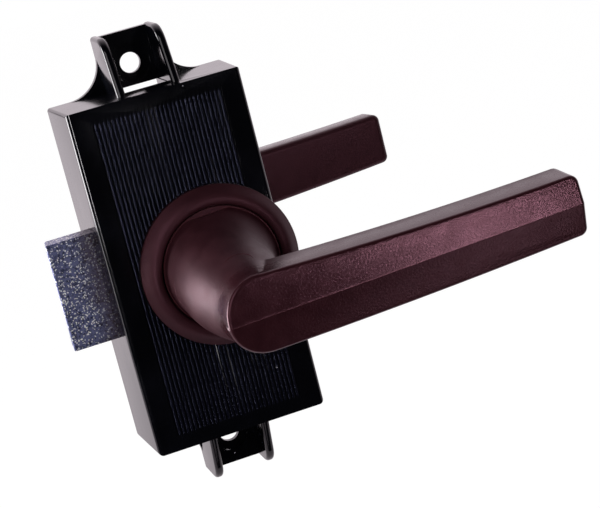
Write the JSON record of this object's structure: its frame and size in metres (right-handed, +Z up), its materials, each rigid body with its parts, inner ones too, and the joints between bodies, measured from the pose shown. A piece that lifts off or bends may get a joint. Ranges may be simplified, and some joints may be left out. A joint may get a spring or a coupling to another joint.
{
  "type": "toilet door lock",
  "caption": "Rim lock with a ribbed black case on the door face, a sliding latch bolt at the side, and brown lever handles on both sides of the door on one square spindle.",
  "frame": {"origin": "midway between the two fixing screws, on the case's door face", "axes": "+Y into the door along the spindle, +Z up, +X from the spindle towards the lever tips"},
  "size_m": [0.1495, 0.2002, 0.1452],
  "materials": {
    "case_black": "glossy moulded, finely ribbed front",
    "handle_brown": "satin moulded, dark maroon brown",
    "bolt_sintered": "sintered grey metal with sparkling grain",
    "plated_steel": "zinc plated",
    "black_screw": "black oxide",
    "spring_steel": "drawn wire",
    "nylon": "natural nylon",
    "bush_brass": "turned",
    "cast_zinc": "die cast zinc"
  },
  "bodies": {
    "root": {"case_body": "case_black", "back_plate": "plated_steel", "plate_screws": "plated_steel", "front_rose": "handle_brown", "rear_rose": "handle_brown", "rose_screws": "plated_steel", "lever_bushings": "nylon", "front_hub_bush": "bush_brass", "rear_hub_bush": "bush_brass", "follower_spacer": "nylon", "stop_pins": "plated_steel", "bolt_guides": "nylon", "bolt_spring": "spring_steel", "spring_rod": "plated_steel", "lever_spring": "spring_steel", "spring_post": "plated_steel"},
    "handles": {"front_lever": "handle_brown", "rear_lever": "handle_brown", "spindle": "plated_steel", "follower": "cast_zinc", "grub_screws": "black_screw"},
    "latch": {"latch_bolt": "bolt_sintered", "tail_plate": "plated_steel", "tail_rivets": "plated_steel"}
  },
  "joints": [
    {"name": "lever_turn", "type": "hinge", "parent": "root", "child": "handles", "pos_m": [0.0063, 0, -0.002], "axis": [0, 1, 0], "range_deg": [0, 45], "stiffness_Nm_per_rad": 0.5, "springref_deg": -20.05, "deforming": ["lever_spring"]},
    {"name": "bolt_slide", "type": "slide", "parent": "root", "child": "latch", "axis": [1, 0, 0], "range_m": [0, 0.0155], "stiffness_N_per_m": 120, "springref_m": -0.02, "deforming": ["bolt_spring"]}
  ],
  "couplings": [
    {"joint": "bolt_slide", "follows": "lever_turn", "m_per_rad": 0.01973}
  ]
}
